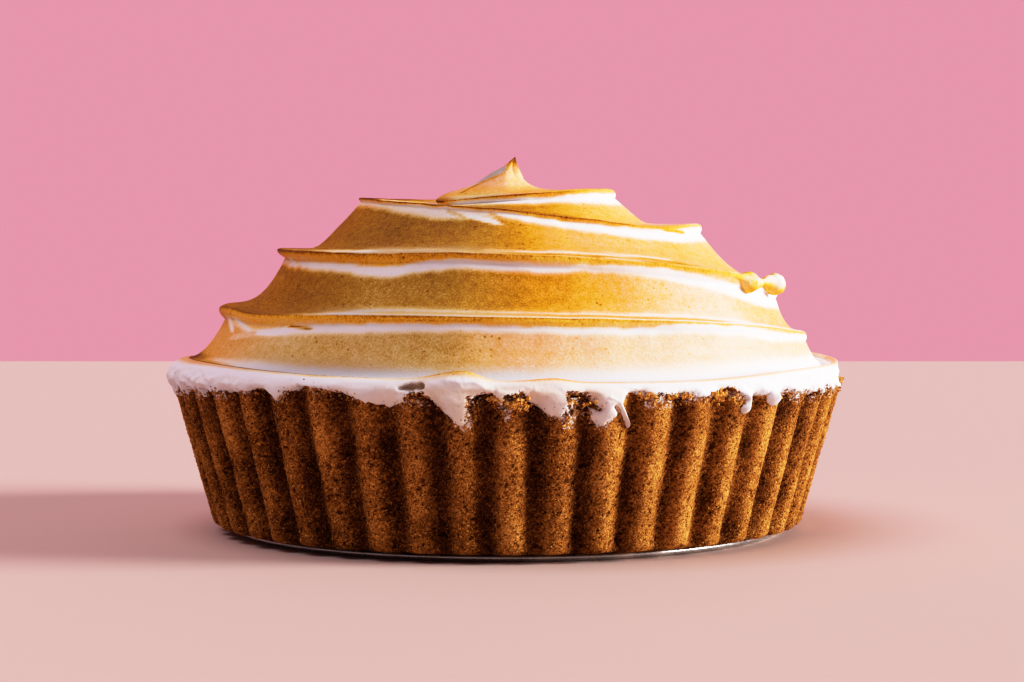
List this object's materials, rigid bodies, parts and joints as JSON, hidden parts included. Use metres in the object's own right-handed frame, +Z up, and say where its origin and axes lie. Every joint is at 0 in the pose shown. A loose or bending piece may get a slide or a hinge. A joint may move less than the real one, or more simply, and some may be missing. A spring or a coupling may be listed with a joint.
{
  "type": "pumpkin meringue pie",
  "caption": "Deep fluted crumb-crust pie under a dome of toasted meringue swirled into one spiral ridge with a pointed tip, on the loose metal base of its tin.",
  "frame": {"origin": "centre of the underside of the tin base, on the surface the pie stands on", "axes": "+Z up; -Y towards the shown front; +X to the right seen from the front"},
  "size_m": [0.2417, 0.2415, 0.1344],
  "materials": {
    "tin": "thin pressed metal, lightly worn",
    "crust": "coarse baked biscuit crumb, dark brown with orange grains",
    "meringue": "soft meringue, white where sheltered and toasted tan to brown on the ridges"
  },
  "bodies": {
    "root": {"tin_base": "tin", "crust": "crust", "meringue": "meringue"}
  },
  "joints": []
}
